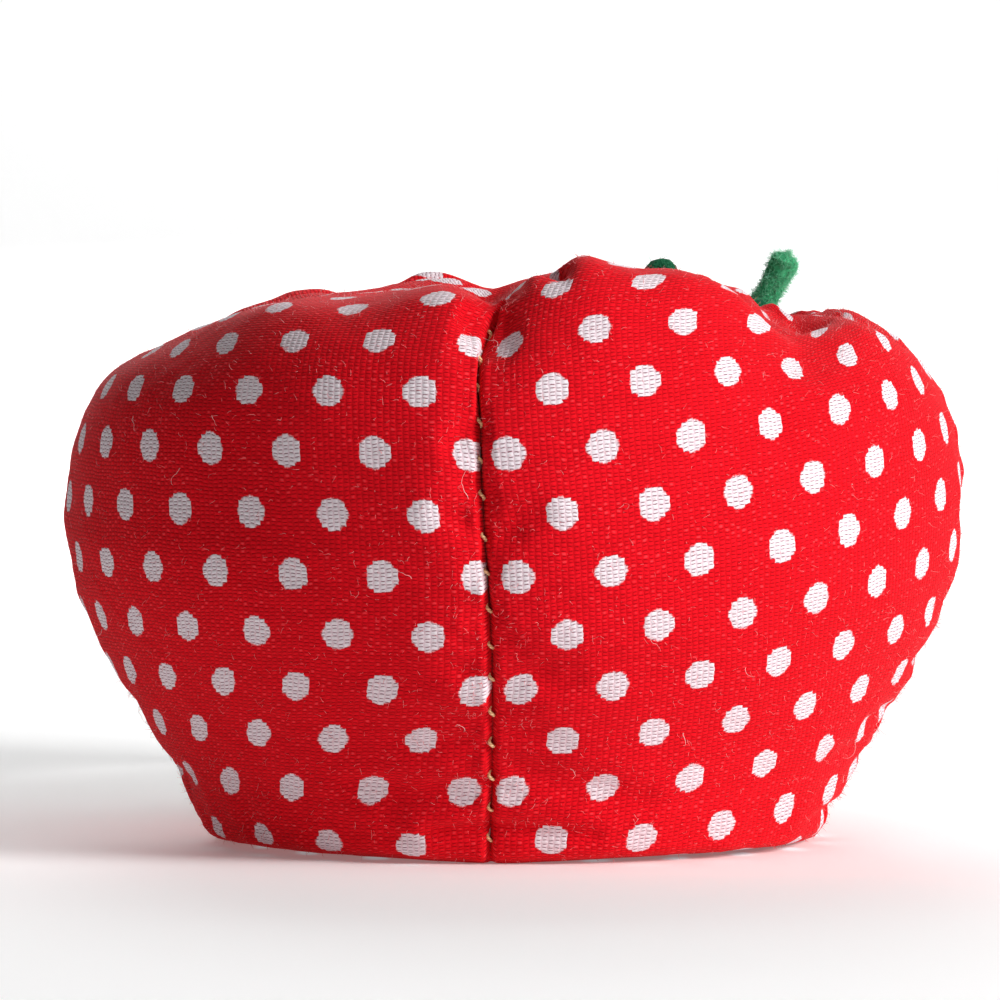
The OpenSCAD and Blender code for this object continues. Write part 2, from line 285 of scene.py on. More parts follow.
def cotton_material():
    """Plain weave, printed red with white pin dots. Its uv map is the cloth's own plane in mm."""
    n = Nodes("printed_cotton")
    cloth, u, v = n.uv("cloth")
    drift = n.noise(cloth, 0.35, 2.0)
    slub = n.noise(cloth, 2.2, 2.0)
    v_bent = n.plus(n.scaled(drift, 0.5, v), n.times(slub, 0.14))
    u_bent = n.scaled(n.noise(cloth, 3.1, 2.0), 0.22, u)
    column = n.math("FLOOR", n.over(u_bent, WARP))
    row = n.math("FLOOR", n.over(v_bent, WEFT))
    across = n.math("FRACT", n.over(u_bent, WARP))
    up = n.math("FRACT", n.over(v_bent, WEFT))
    parity = n.math("MODULO", n.size(n.plus(column, row)), 2.0)
    # a level thread is on top where the parity is 0, and arches over its upright thread
    round_v = n.sine(n.times(up, math.pi))
    round_u = n.sine(n.times(across, math.pi))
    level = n.times(n.math("POWER", round_v, 0.6), n.scaled(round_u, 0.6, 0.4))
    upright = n.times(n.math("POWER", round_u, 0.7), n.scaled(round_v, 0.45, 0.2))
    level_top = n.minus(1.0, parity)
    thread = n.plus(n.times(level, level_top), n.times(upright, parity))
    # painted shade: the gap under a level thread is darkened as a short dash, where shade falls between
    # threads
    beside = n.size(n.minus(up, 0.5))
    gap_shade = n.times(n.ramp(beside, 0.20, 0.42), n.times(n.ramp(round_u, 0.35, 0.8), parity))
    # the print follows whole threads, so a dot's edge is stepped
    u_step = n.times(n.plus(column, 0.5), WARP)
    v_step = n.times(n.plus(row, 0.5), WEFT)
    u_print = n.plus(n.times(u_step, 0.5), n.times(u, 0.5))
    v_print = n.plus(n.times(v_step, 0.5), n.times(v, 0.5))
    nearest = None
    for shift in (0.0, 0.5):
        du = n.math("WRAP", n.plus(u_print, shift * DOT_ACROSS), DOT_ACROSS / 2, -DOT_ACROSS / 2)
        dv = n.math("WRAP", n.plus(v_print, shift * DOT_UP), DOT_UP / 2, -DOT_UP / 2)
        away = n.math("SQRT", n.plus(n.times(du, du), n.times(dv, dv)))
        nearest = away if nearest is None else n.math("MINIMUM", nearest, away)
    ragged = n.scaled(n.noise(cloth, 6.0, 3.0), 0.16, DOT_R - 0.08)
    dot = n.minus(1.0, n.ramp(n.minus(nearest, ragged), -0.05, 0.05))
    # tone of each thread: a random tone by row and by thread, plus painted shade that darkens each thread
    # away from the crown of its weave
    row_tone = n.white(row)
    cell_tone = n.white(n.combine(column, row), "2D")
    tone = n.plus(n.times(row_tone, 0.35), n.times(cell_tone, 0.35))
    tone = n.plus(tone, n.times(n.noise(cloth, 0.22, 3.0), 0.5))
    light = n.scaled(tone, 0.42, n.ramp(thread, 0.05, 0.9, 0.28, 0.72))
    red = n.mix(light, rgb(0.46, 0.0002, 0.002), rgb(0.88, 0.005, 0.015))
    # painted shade in the gaps between threads darkens the red
    red = n.mix(n.times(gap_shade, 0.85), red, rgb(0.30, 0.0, 0.004))
    # painted highlight: a bright spot on the crown of each level thread that lies on top
    painted_glint = n.ramp(n.times(n.times(level, level_top), cell_tone), 0.5, 0.95)
    red = n.mix(n.times(painted_glint, 0.5), red, rgb(0.97, 0.075, 0.09))
    bleached = n.mix(tone, rgb(0.84, 0.72, 0.77), rgb(0.94, 0.86, 0.90))
    # painted shade: the white print turns pink-grey towards the low edges of its threads
    white = n.mix(n.ramp(thread, 0.1, 0.6), rgb(0.80, 0.62, 0.67), bleached)
    # painted shade in the gaps between threads turns the white print grey-pink
    white = n.mix(n.times(gap_shade, 0.95), white, rgb(0.20, 0.04, 0.07))
    colour = n.mix(dot, red, white)
    lint = n.times(n.ramp(n.noise(cloth, 9.0, 4.0, 0.7), 0.60, 0.78), 0.10)
    colour = n.mix(lint, colour, rgb(0.95, 0.55, 0.56))
    height = n.plus(thread, n.times(n.noise(cloth, 14.0, 3.0), 0.35))
    return n.finish(
        Base_Color=colour,
        Roughness=0.88,
        Specular_IOR_Level=0.08,
        Sheen_Weight=0.06,
        Sheen_Roughness=0.4,
        Sheen_Tint=rgb(1.0, 0.55, 0.55),
        Normal=n.bump(height, 0.00007, 0.8),
    )


def thread_material(name, dark, bright):
    """Two-ply sewing thread. Its uv map is (round, along in mm)."""
    n = Nodes(name)
    _, round_u, along = n.uv("cloth")
    turn = n.plus(n.times(round_u, 2 * math.pi), n.times(along, 2 * math.pi / 0.45))
    ply = n.size(n.sine(turn))
    fibre = n.noise(n.place(), 9000.0, 3.0)
    # painted shade: the thread is lighter on the crown of each ply and darker in the groove between plies,
    # with a random fibre tone
    tone = n.plus(n.times(ply, 0.75), n.times(fibre, 0.35), clamp=True)
    height = n.plus(ply, n.times(fibre, 0.3))
    return n.finish(
        Base_Color=n.mix(tone, dark, bright),
        Roughness=0.55,
        Specular_IOR_Level=0.35,
        Sheen_Weight=0.1,
        Normal=n.bump(height, 0.00006, 0.8),
    )


def felt_material(name, dark, bright):
    """Pressed wool felt: matted fibres that run every way."""
    n = Nodes(name)
    place = n.place()
    broad = n.noise(place, 260.0, 3.0)
    mat = n.noise(place, 1700.0, 5.0, 0.7)
    bent = n.mix(0.75, place, n.add("TexNoise").outputs[1])
    fine = n.noise(bent, 5200.0, 4.0, 0.75)
    strand = n.minus(1.0, n.ramp(n.size(n.minus(mat, 0.5)), 0.0, 0.09))
    tone = n.plus(n.times(broad, 0.35), n.times(fine, 0.5))
    tone = n.plus(tone, n.times(strand, 0.30), clamp=True)
    height = n.plus(n.times(mat, 0.7), n.times(strand, 0.5))
    return n.finish(
        Base_Color=n.mix(n.ramp(tone, 0.15, 0.95), dark, bright),
        Roughness=0.95,
        Specular_IOR_Level=0.1,
        Sheen_Weight=0.25,
        Sheen_Roughness=0.5,
        Sheen_Tint=bright,
        Normal=n.bump(height, 0.00022, 0.9),
    )


def fibre_material(name, colour, variation):
    """Loose fibres. Each one has its own shade, from its place."""
    n = Nodes(name)
    shade = n.noise(n.place(), 900.0, 2.0)
    return n.finish(
        Base_Color=n.mix(n.ramp(shade, 0.3, 0.7), colour, variation),
        Roughness=0.7,
        Specular_IOR_Level=0.2,
        Sheen_Weight=0.3,
    )


ELASTIC_RIB = 1.05  # pitch of the ribs across the elastic, mm
ELASTIC_PICK = 0.42  # pitch of the yarn along it, mm


def elastic_material():
    """Woven elastic: ribs along it, crossed by a fine zigzag of covering yarn. Its uv is in mm."""
    n = Nodes("woven_elastic")
    cloth, along, across = n.uv("cloth")
    drift = n.noise(cloth, 0.5, 2.0)
    rib = n.size(n.sine(n.times(across, math.pi / ELASTIC_RIB)))
    row = n.math("FLOOR", n.over(across, ELASTIC_RIB))
    side = n.minus(n.times(n.math("MODULO", n.size(row), 2.0), 2.0), 1.0)
    slant = n.times(n.minus(n.math("FRACT", n.over(across, ELASTIC_RIB)), 0.5), side)
    beat = n.plus(n.times(along, 1 / ELASTIC_PICK), n.times(slant, 0.9))
    beat = n.plus(beat, n.times(drift, 0.4))
    pick = n.size(n.sine(n.times(beat, math.pi)))
    fibre = n.noise(cloth, 12.0, 4.0, 0.7)
    height = n.plus(n.times(rib, 0.75), n.times(n.times(pick, rib), 0.7))
    height = n.plus(height, n.times(fibre, 0.15))
    # painted shade: the elastic is lighter on the crests of its ribs and picks and darker in the valleys
    # between them, with a broad random tone
    tone = n.plus(n.ramp(height, 0.1, 1.3, 0.0, 0.8), n.times(n.noise(cloth, 0.25, 3.0), 0.3))
    return n.finish(
        Base_Color=n.mix(tone, rgb(0.44, 0.42, 0.38), rgb(0.88, 0.86, 0.81)),
        Roughness=0.75,
        Specular_IOR_Level=0.25,
        Sheen_Weight=0.15,
        Normal=n.bump(height, 0.00018, 0.9),
    )


def guard_material():
    """Hard white plastic with fine scuffs."""
    n = Nodes("guard_plastic")
    scuff = n.noise(n.place(), 1500.0, 5.0, 0.8)
    n.shader.inputs["Base Color"].default_value = rgb(0.78, 0.78, 0.75)
    return n.finish(
        Roughness=n.ramp(scuff, 0.35, 0.7, 0.35, 0.6),
        Normal=n.bump(scuff, 0.00002, 0.4),
    )


def filling_material():
    """Matted polyester fibre."""
    n = Nodes("fibre_filling")
    clump = n.noise(n.place(), 320.0, 5.0, 0.7)
    strand = n.noise(n.place(), 2600.0, 4.0, 0.7)
    height = n.plus(clump, n.times(strand, 0.6))
    # painted shade: the fibre is greyer in the hollows between its clumps and strands
    return n.finish(
        Base_Color=n.mix(n.ramp(height, 0.5, 1.1), rgb(0.70, 0.68, 0.64), rgb(0.93, 0.92, 0.89)),
        Roughness=0.9,
        Sheen_Weight=0.4,
        Normal=n.bump(height, 0.0005, 0.9),
    )


# ---------------------------------------------------------------- shape of the stuffed body, in mm
GORES = ("gore_front_left", "gore_front_right", "gore_back_left", "gore_back_right")
corners = [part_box(name) for name in GORES]
HALF_W = max(hi.x for lo, hi in corners) / MM
FRONT_D = -min(lo.y for lo, hi in corners) / MM
WRIST_Y = max(hi.y for lo, hi in corners) / MM
BODY_H = max(hi.z for lo, hi in corners) / MM + 0.6
BACK_D = WRIST_Y + 4.0  # depth of the back if the wrist side weren't flat
EQUATOR_Z = 23.0  # height of the widest level
BASE_SHARE = 0.665  # width of the flat base, as a share of the widest level
SIDE_N = 2.9  # squareness of the dome at the sides, where 2 is an ellipse
FRONT_N = 4.2  # and in front
HOLLOW_D = 8.0  # depth of the gathered hollow
HOLLOW_SHARE = 0.45  # how far out the hollow reaches
LEAN_SHARE = 0.95  # how far out the levels shift towards the middle of the gathers
CORNER_R = 2.2  # radius of the turn from the base to the wall
calyx_lo, calyx_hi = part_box("calyx_stitches")
TOP_XY = np.array([(calyx_lo.x + calyx_hi.x) / 2, (calyx_lo.y + calyx_hi.y) / 2]) / MM
tip_lo, tip_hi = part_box("tip_stitches")
TIP_XY = np.array([(tip_lo.x + tip_hi.x) / 2, (tip_lo.y + tip_hi.y) / 2]) / MM / 0.85
SEAM_TURN = -4.0  # how far the four seams are turned round the body, degrees


def smooth(x, low, high):
    t = np.clip((x - low) / (high - low), 0, 1)
    return t * t * (3 - 2 * t)


def lower_share(z):
    t = np.clip(1 - z / EQUATOR_Z, 0, 1)
    return 1 - (0.985 - BASE_SHARE) * (t**1.7 + (1 - np.cos(np.pi * t)) / 2) / 2


def squareness(phi):
    return SIDE_N + (FRONT_N - SIDE_N) * np.maximum(0, -np.sin(phi)) ** 2


def upper_z(share, phi):
    n = squareness(phi)
    dome = np.maximum(0, 1 - share**n) ** (1 / n)
    sunk = np.where(share < HOLLOW_SHARE, (1 + np.cos(np.pi * share / HOLLOW_SHARE)) / 2, 0)
    return EQUATOR_Z + (BODY_H - EQUATOR_Z) * dome - HOLLOW_D * sunk


def centre_of(share, upper):
    lean = (1 + np.cos(np.pi * np.clip((share - 0.1) / (LEAN_SHARE - 0.1), 0, 1))) / 2
    tip = np.clip(1 - share / BASE_SHARE, 0, 1) ** 2
    return np.where(upper[..., None], TOP_XY * lean[..., None], TIP_XY * tip[..., None])


# parts of the profile: rows in each, from the tip, over the side, to the gathers
ROWS = {"base": 22, "corner": 7, "wall": 74, "dome": 78, "hollow": 62}


def profile(phi):
    """Share, height and whether it is the upper half, for every row at each angle in phi."""
    phi = phi[None, :]
    fine = 400
    t = np.linspace(0, 1, fine)[:, None] + 0 * phi
    z_corner = CORNER_R
    base_edge = BASE_SHARE - 1.3 / HALF_W
    turn = t * np.pi / 2
    wall_foot = lower_share(z_corner)
    pieces = {
        "base": (0.03 + (base_edge - 0.03) * t, 0 * t),
        "corner": (base_edge + (wall_foot - base_edge) * np.sin(turn), z_corner * (1 - np.cos(turn))),
        "wall": (lower_share(z_corner + (EQUATOR_Z - z_corner) * t), z_corner + (EQUATOR_Z - z_corner) * t),
    }
    n = squareness(phi)
    rim = 0.5
    last = np.arccos(rim ** (n / 2))
    dome_share = np.cos(last * t) ** (2 / n)
    pieces["dome"] = (dome_share, upper_z(dome_share, phi))
    hollow_share = rim + (0.05 - rim) * t
    pieces["hollow"] = (hollow_share, upper_z(hollow_share, phi))
    shares, heights, uppers = [], [], []
    for name, (share, z) in pieces.items():
        step = np.hypot(np.diff(share, axis=0) * HALF_W, np.diff(z, axis=0))
        length = np.vstack([np.zeros(share.shape[1]), np.cumsum(step, axis=0)])
        length /= length[-1]
        count = ROWS[name]
        want = np.linspace(0, 1, count + 1)[1 if shares else 0 :]
        for out, values in ((shares, share), (heights, z)):
            out.append(np.stack([np.interp(want, length[:, j], values[:, j]) for j in range(phi.size)], 1))
        uppers.append(np.full((len(want), phi.size), name in ("dome", "hollow")))
    return np.vstack(shares), np.vstack(heights), np.vstack(uppers)


# humps and dips of the front rim: where across, how high, how wide
RIM_SHAPE = (
    (-24.0, -2.1, 6.0),
    (-11.0, -1.3, 7.0),
    (-1.4, -2.1, 2.6),
    (6.0, 0.7, 2.8),
    (11.5, 0.4, 4.0),
    (19.7, -3.8, 3.8),
    (25.0, -0.6, 3.0),
)
BACK_DROP = 2.9  # how much lower the back of the rim is than the front
BROW = 1.1  # how far the front rim stands up before the top falls away behind it
BROW_SHARE = 0.80
SEAM_X = -2.3
SEAM_SWAY = 0.38  # how far the front seam wanders to either side


def rim_rise(x, y, z, share):
    """How far the top stands above the plain dome: the rim's humps, a lower back and a brow in front."""
    rise = sum(h * np.exp(-(((x - at) / w) ** 2)) for at, h, w in RIM_SHAPE)
    rise = rise - BACK_DROP * smooth(y, 0.0, 15.0)
    rise = rise * smooth(z, 31.0, 40.0) * smooth(share, 0.12, 0.5)
    brow = np.exp(-(((share - BROW_SHARE) / 0.09) ** 2)) - smooth(-share, -0.74, -0.5)
    return rise + BROW * brow * smooth(-y, 4.0, 14.0)


def skin(phi, share, z, upper):
    """Points of the smooth outer skin, shape (rows, columns, 3)."""
    c = centre_of(share, upper)
    depth = np.where(np.sin(phi) < 0, FRONT_D, BACK_D)
    x = c[..., 0] + HALF_W * share * np.cos(phi)
    y = c[..., 1] + depth * share * np.sin(phi)
    sway = SEAM_SWAY * np.sin(2 * np.pi * (24.5 - z) / 38)
    x = x + sway * np.exp(-(((x - SEAM_X) / 12) ** 2)) * smooth(-y, 0.0, 12.0)
    soft = 1.2
    over = (y - WRIST_Y) / soft
    y = WRIST_Y - soft * np.logaddexp(0, -over)
    return np.stack([x, y, z + rim_rise(x, y, z, share) * upper], -1)


def normals_of(points):
    along = np.gradient(points, axis=0)
    across = np.gradient(points, axis=1)
    n = np.cross(across, along)
    return n / np.maximum(np.linalg.norm(n, axis=-1, keepdims=True), 1e-9)


def lengths(points, axis):
    step = np.linalg.norm(np.diff(points, axis=axis), axis=-1)
    pad = [(1, 0), (0, 0)] if axis == 0 else [(0, 0), (1, 0)]
    return np.pad(np.cumsum(step, axis=axis), pad)


def wavy(seed, count, period, values):
    """Smooth random function of values, made of a few sines, from about -1 to 1."""
    r = np.random.default_rng(seed)
    total = 0
    for _ in range(count):
        total = total + np.sin(values * (2 * np.pi / period) * r.uniform(0.6, 1.8) + r.uniform(0, 6.28))
    return total / math.sqrt(count)


def ripple(seed, count, low, high, turn):
    """Smooth random function of an angle that meets itself after a full turn, from about -1 to 1."""
    r = np.random.default_rng(seed)
    total = 0
    for _ in range(count):
        total = total + np.sin(r.integers(low, high + 1) * turn + r.uniform(0, 6.28))
    return total / math.sqrt(count)


def seam_columns(width):
    """Places of the columns across a gore of that width, closer near both seams."""
    near = np.concatenate([np.linspace(0, 1.2, 8, False), np.linspace(1.2, 3.6, 9, False)])
    middle = np.linspace(3.6, width - 3.6, int((width - 7.2) / 0.55))
    return np.concatenate([near, middle, width - near[::-1]]) / width


SHOULDER_ROWS = 22  # rows from the widest level up to the one whose width the gathered cloth keeps


def widest_row(upper):
    return int(np.argmax(upper[:, 0]))


def cloth_map(points, share, upper, from_seam, rise):
    """The cloth's own plane: across from the seam that it is measured from, and up."""
    side = lengths(points, 1)
    if from_seam > 0:
        side = side[:, -1:] - side
    full = side[widest_row(upper) + SHOULDER_ROWS]
    gather = smooth(-share, -0.82, -0.30) * 0.85 * upper
    across = side * (1 - gather) + full[None, :] * gather
    up = lengths(points, 0)
    up = up - up[widest_row(upper)] - rise(across)
    return np.stack([-from_seam * across, up], -1)


def grid_object(name, points, uv=None, wall=0.0, closed=False):
    """Mesh of a grid of points in mm, as a closed shell of that wall, with its uv map named cloth."""
    rows, cols = points.shape[:2]
    i, j = np.meshgrid(np.arange(rows - 1), np.arange(cols if closed else cols - 1), indexing="ij")
    k = (j + 1) % cols
    quads = np.stack([i * cols + j, i * cols + k, (i + 1) * cols + k, (i + 1) * cols + j], -1).reshape(-1, 4)
    verts = points.reshape(-1, 3)
    flat = None if uv is None else uv.reshape(-1, 2)
    if wall:
        inner = (points - normals_of(points) * wall).reshape(-1, 3)
        count = len(verts)
        ring = [np.arange(cols), (rows - 1) * cols + np.arange(cols)[::-1]]
        if not closed:
            ring = [np.concatenate([ring[0], np.arange(1, rows) * cols + cols - 1,
                                    ring[1][1:], np.arange(rows - 2, 0, -1) * cols])]
        sides = []
        for r in ring:
            nxt = np.roll(r, -1)
            sides.append(np.stack([nxt, r, r + count, nxt + count], -1))
        quads = np.vstack([quads, quads[:, ::-1] + count] + sides)
        verts = np.vstack([verts, inner])
        if flat is not None:
            flat = np.vstack([flat, flat])
    mesh = bpy.data.meshes.new(name)
    mesh.from_pydata((verts * MM).tolist(), [], quads.tolist())
    mesh.polygons.foreach_set("use_smooth", [True] * len(quads))
    if flat is not None:
        layer = mesh.uv_layers.new(name="cloth")
        loops = np.zeros(len(mesh.loops), np.int32)
        mesh.loops.foreach_get("vertex_index", loops)
        layer.data.foreach_set("uv", flat[loops].astype(np.float32).ravel())
    return new_object(name, mesh)


# ---------------------------------------------------------------- stuffing the cotton
SIM_SCALE = 0.01  # metres in the simulation for each mm
SIM_COLUMNS = 40
SIM_ROW_STEP = 3
SIM_FRAMES = 20
SIM_CAP = 1.6  # most that the simulation may move a point, mm
SIM_KEEP_SHAPE = 0.85  # share of the broad swelling that is taken out, so that the outline stays


def around_columns():
    """Angles right round the body, in degrees after the first seam, closer beside the four seams."""
    t = np.arange(SIM_COLUMNS) / SIM_COLUMNS
    place = 0.5 * t + 0.25 * (1 - np.cos(np.pi * t))
    return np.concatenate([90 * k + 90 * place for k in range(4)])


def stuffed():
    """Lets the stuffing press the loose cotton out between its seams. Returns how far each point of a
    coarse grid moved in mm, and the angles of its columns. The grid's rows are every third profile row."""
    turn = around_columns()
    phi = np.radians(turn + SEAM_TURN)
    share, z, upper = profile(phi)
    points = skin(phi[None, :], share, z, upper)
    keep = np.arange(0, len(points), SIM_ROW_STEP)
    points, share = points[keep], share[keep]
    rows, cols = points.shape[:2]
    shell = grid_object("stuffing_test", points, closed=True)
    close_ends(shell.data, cols)
    shell.data.transform(Matrix.Scale(SIM_SCALE / MM, 4))
    flat = points.reshape(-1, 3)
    # the flat base, the wrist side and the gathered middle stay where they are
    held = (flat[:, 2] < 0.4) | (flat[:, 1] > WRIST_Y - 0.9) | (share.reshape(-1) < 0.2)
    seam = np.abs((np.tile(turn, rows) + 45) % 90 - 45) < 0.6
    pins = shell.vertex_groups.new(name="held")
    pins.add(np.flatnonzero(held).tolist(), 1.0, "REPLACE")
    tight = shell.vertex_groups.new(name="tight")
    tight.add(np.flatnonzero(seam).tolist(), 1.0, "REPLACE")
    cloth = shell.modifiers.new("cloth", "CLOTH").settings
    cloth.quality = 6
    cloth.mass = 0.2
    cloth.tension_stiffness = 25
    cloth.compression_stiffness = 25
    cloth.bending_stiffness = 0.25
    cloth.use_pressure = True
    cloth.uniform_pressure_force = 4
    cloth.effector_weights.gravity = 0
    cloth.vertex_group_mass = "held"
    cloth.vertex_group_shrink = "tight"
    cloth.shrink_min = -0.035
    cloth.shrink_max = 0.03
    scene = bpy.context.scene
    shell.modifiers["cloth"].point_cache.frame_end = SIM_FRAMES
    for f in range(1, SIM_FRAMES + 1):
        scene.frame_set(f)
    done = shell.evaluated_get(bpy.context.evaluated_depsgraph_get()).data
    moved = np.zeros(len(done.vertices) * 3)
    done.vertices.foreach_get("co", moved)
    moved = moved.reshape(-1, 3)[: len(flat)] / SIM_SCALE - flat
    scene.frame_set(1)
    bpy.data.objects.remove(shell)
    moved = moved.reshape(rows, cols, 3)
    broad = moved
    for _ in range(8):
        broad = softened(broad, 0)
        broad = softened(np.concatenate([broad[:, -4:], broad, broad[:, :4]], 1), 1)[:, 4:-4]
    moved = moved - SIM_KEEP_SHAPE * broad
    far = np.linalg.norm(moved, axis=2, keepdims=True)
    moved *= SIM_CAP * np.tanh(far / SIM_CAP) / np.maximum(far, 1e-6)
    return moved, turn


def softened(values, axis):
    """Values blurred a little along one axis, with the ends kept."""
    for _ in range(2):
        inner = np.take(values, range(1, values.shape[axis] - 1), axis)
        before = np.take(values, range(0, values.shape[axis] - 2), axis)
        after = np.take(values, range(2, values.shape[axis]), axis)
        first = np.take(values, [0], axis)
        last = np.take(values, [values.shape[axis] - 1], axis)
        values = np.concatenate([first, (before + 2 * inner + after) / 4, last], axis)
    return values


def stuffed_offsets(moved, turn, want_turn, rows):
    """The coarse grid's movement at each angle in want_turn, for every row of the fine grid."""
    turn_wrapped = np.concatenate([turn, [360.0]])
    at_row = np.minimum(np.arange(rows) / SIM_ROW_STEP, len(moved) - 1)
    out = np.zeros((rows, len(want_turn), 3))
    for axis in range(3):
        ring = np.concatenate([moved[..., axis], moved[:, :1, axis]], 1)
        wide = np.stack([np.interp(want_turn, turn_wrapped, line) for line in ring])
        tall = np.stack([np.interp(at_row, np.arange(len(wide)), line) for line in wide.T], 1)
        out[..., axis] = softened(tall, 0)
    return out


# ---------------------------------------------------------------- folds of the cotton
SEAM_PITCH = 2.7  # length of one machine stitch


def seam_relief(beside, up, puff, seed):
    """Height of the cotton beside a seam: a sharp valley, puffs between stitches and short puckers."""
    stitch = np.cos(2 * np.pi * up / SEAM_PITCH)
    valley = -0.55 * np.exp(-((beside / 0.30) ** 2))
    lip = (0.04 + puff * (0.09 - 0.10 * stitch)) * np.exp(-(((beside - 0.6) / 0.45) ** 2))
    drift = wavy(seed, 4, 9.0, up)
    pucker = 0.085 * np.exp(-beside / 2.6) * np.cos(2 * np.pi * up / (SEAM_PITCH * 1.35) + 1.7 * drift)
    long_pull = 0.10 * np.exp(-beside / 7.0) * wavy(seed + 1, 5, 7.0, up) * smooth(beside, 0, 2)
    return valley + lip + pucker + long_pull


def relief(points, phi, share, upper, left_of, right_of, up, seeds):
    """Distance that each point stands out from the smooth skin."""
    x, y, z = points[..., 0], points[..., 1], points[..., 2]
    total = seam_relief(left_of, up, 0.2, seeds[0]) + seam_relief(right_of, up, 1.0, seeds[1])
    # pleats that run in to the gathers
    turn = phi[None, :] + 0 * share
    bent = turn * 13 + 1.1 * ripple(5, 3, 2, 5, turn) + 0.5 * wavy(6, 3, 9.0, share * 20)
    pleat = np.abs(np.sin(bent)) ** 0.8 - 0.6
    in_front = smooth(-np.sin(turn), 0.0, 0.6)
    reach = 0.66 - 0.15 * in_front - 0.08 * smooth(x, 10.0, 20.0)
    depth = 1.15 * smooth(reach - share, 0.0, 0.32) * smooth(share, 0.0, 0.30) * upper
    total = total + depth * pleat * (0.75 + 0.25 * ripple(7, 3, 4, 8, turn))
    soft = (0.25 - 0.12 * in_front) * smooth(-share, -0.92, -0.6) * upper * ripple(8, 4, 14, 30, turn)
    total = total + soft
    # unevenness of the stuffing
    lumps = wavy(11, 4, 19.0, x + 0.6 * z) * wavy(12, 4, 15.0, z - 0.4 * x + y * 0.5)
    total = total + 0.12 * lumps + 0.035 * wavy(13, 4, 4.5, x + y) * wavy(14, 4, 5.0, z - y)
    # creases where the flat base turns up into the wall
    crease = np.exp(-(((z - 2.0) / 2.6) ** 2)) * (1 - upper)
    total = total + 0.07 * crease * ripple(15, 5, 20, 44, turn)
    return total * np.where(z < 0.4, 0.25, 1.0)


def pit(points):
    """A short deep fold in the front rim beside the seam, with a roll of cloth behind it."""
    x, y, z = points[..., 0], points[..., 1], points[..., 2]
    front = smooth(-y, 6.0, 14.0) * smooth(z, 36.5, 39.5)
    fold_x = 2.8 - 0.35 * (y + 23.6)
    hole = -1.9 * np.exp(-(((x - fold_x) / 0.55) ** 2) - ((y + 23.3) / 1.8) ** 2)
    roll = 0.6 * np.exp(-(((x - 4.7) / 1.4) ** 2) - ((y + 22.0) / 3.5) ** 2)
    lip = 0.4 * np.exp(-(((x - 1.5) / 0.8) ** 2) - ((y + 24.3) / 1.6) ** 2)
    return (hole + roll + lip) * front


# how much higher the cloth's level threads run beside the front seam, by distance from it
def rise_right(d):
    return 0.16 * d * d / (d + 20.0) + 0.0004 * d * d


def rise_left(d):
    return 0.35 * (d / 36.0) ** 2


def print_drift(z, from_seam):
    """The front seam isn't quite along the threads: how far to the right the print lies from it."""
    low = 0.5 * smooth(-z, -8.0, -2.0) + (0.35 if from_seam < 0 else 0.65) * smooth(-z, -15.0, -7.0)
    return 0.35 * np.exp(-(((z - 24) / 9) ** 2)) - low


# gore: first seam (degrees), seam that the cloth is measured from (-1 first, 1 last), distance of the
# first dots from that seam, rise, spread of the print
GORE_PLAN = {
    "gore_front_right": (270, -1, 2.05, rise_right, 0.985),
    "gore_front_left": (180, 1, 1.05, rise_left, 1.01),
    "gore_back_right": (0, 1, 1.9, rise_right, 1.0),
    "gore_back_left": (90, -1, 0.9, rise_right, 1.0),
}
DOT_LEVEL = 5.85  # height above the widest level of a row of dots beside a seam, mm
GORE_SPREAD = 51.0  # width that the columns of a gore are spaced for, mm
COTTON_T = 0.35  # thickness of the cotton, mm


def build_gore(name, cotton, settled):
    start, from_seam, first_dot, rise, spread = GORE_PLAN[name]
    place = seam_columns(GORE_SPREAD)
    phi = np.radians(start + SEAM_TURN + 90 * place)
    share, z, upper = profile(phi)
    points = skin(phi[None, :], share, z, upper)
    # the normals take in a little of the next gores, so that both sides of a seam agree
    wide = np.concatenate([[2 * phi[0] - phi[1]], phi, [2 * phi[-1] - phi[-2]]])
    outward = normals_of(skin(wide[None, :], *profile(wide)))[:, 1:-1]
    beside_first = lengths(points, 1)
    beside_last = beside_first[:, -1:] - beside_first
    up = lengths(points, 0)
    up = up - up[widest_row(upper)]
    uv = cloth_map(points, share, upper, from_seam, rise)
    uv[..., 0] = uv[..., 0] / spread + from_seam * first_dot
    if "front" in name:
        uv[..., 0] -= print_drift(points[..., 2], from_seam)
    if from_seam < 0:  # the seam allowance has taken the column of dots before the first
        uv[..., 0] = np.maximum(uv[..., 0], DOT_R + 0.1 - DOT_ACROSS / 2)
    uv[..., 1] -= DOT_LEVEL
    seeds = (start + 1, (start + 91) % 360)
    out = relief(points, phi, share, upper, beside_first, beside_last, up, seeds) + pit(points)
    if settled is not None:
        turn = np.minimum(start + 90 * place, start + 90) - (0 if start < 360 else 360)
        points = points + stuffed_offsets(*settled, turn, len(points))
    points = points + outward * out[..., None]
    points[..., 2] = np.maximum(points[..., 2], 0.02)
    obj = grid_object(name + "_cotton", points, uv, wall=COTTON_T)
    obj.data.materials.append(cotton)
    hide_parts(name)
    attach(obj, "cushion")
    shown = points[ROWS["base"] + 2 : -ROWS["hollow"], 4:-4]
    return shown.reshape(-1, 3), normals_of(shown).reshape(-1, 3)


# ---------------------------------------------------------------- threads and fibres
def frames_along(path):
    """Two normals at each point of a path, turned as little as possible along it."""
    t = np.gradient(path, axis=0)
    t /= np.maximum(np.linalg.norm(t, axis=1, keepdims=True), 1e-9)
    start = np.array([0.0, 0.0, 1.0]) if abs(t[0, 2]) < 0.9 else np.array([1.0, 0.0, 0.0])
    u = np.zeros_like(path)
    last = start
    for i, along in enumerate(t):
        last = last - along * np.dot(last, along)
        last /= max(np.linalg.norm(last), 1e-9)
        u[i] = last
    return u, np.cross(t, u)


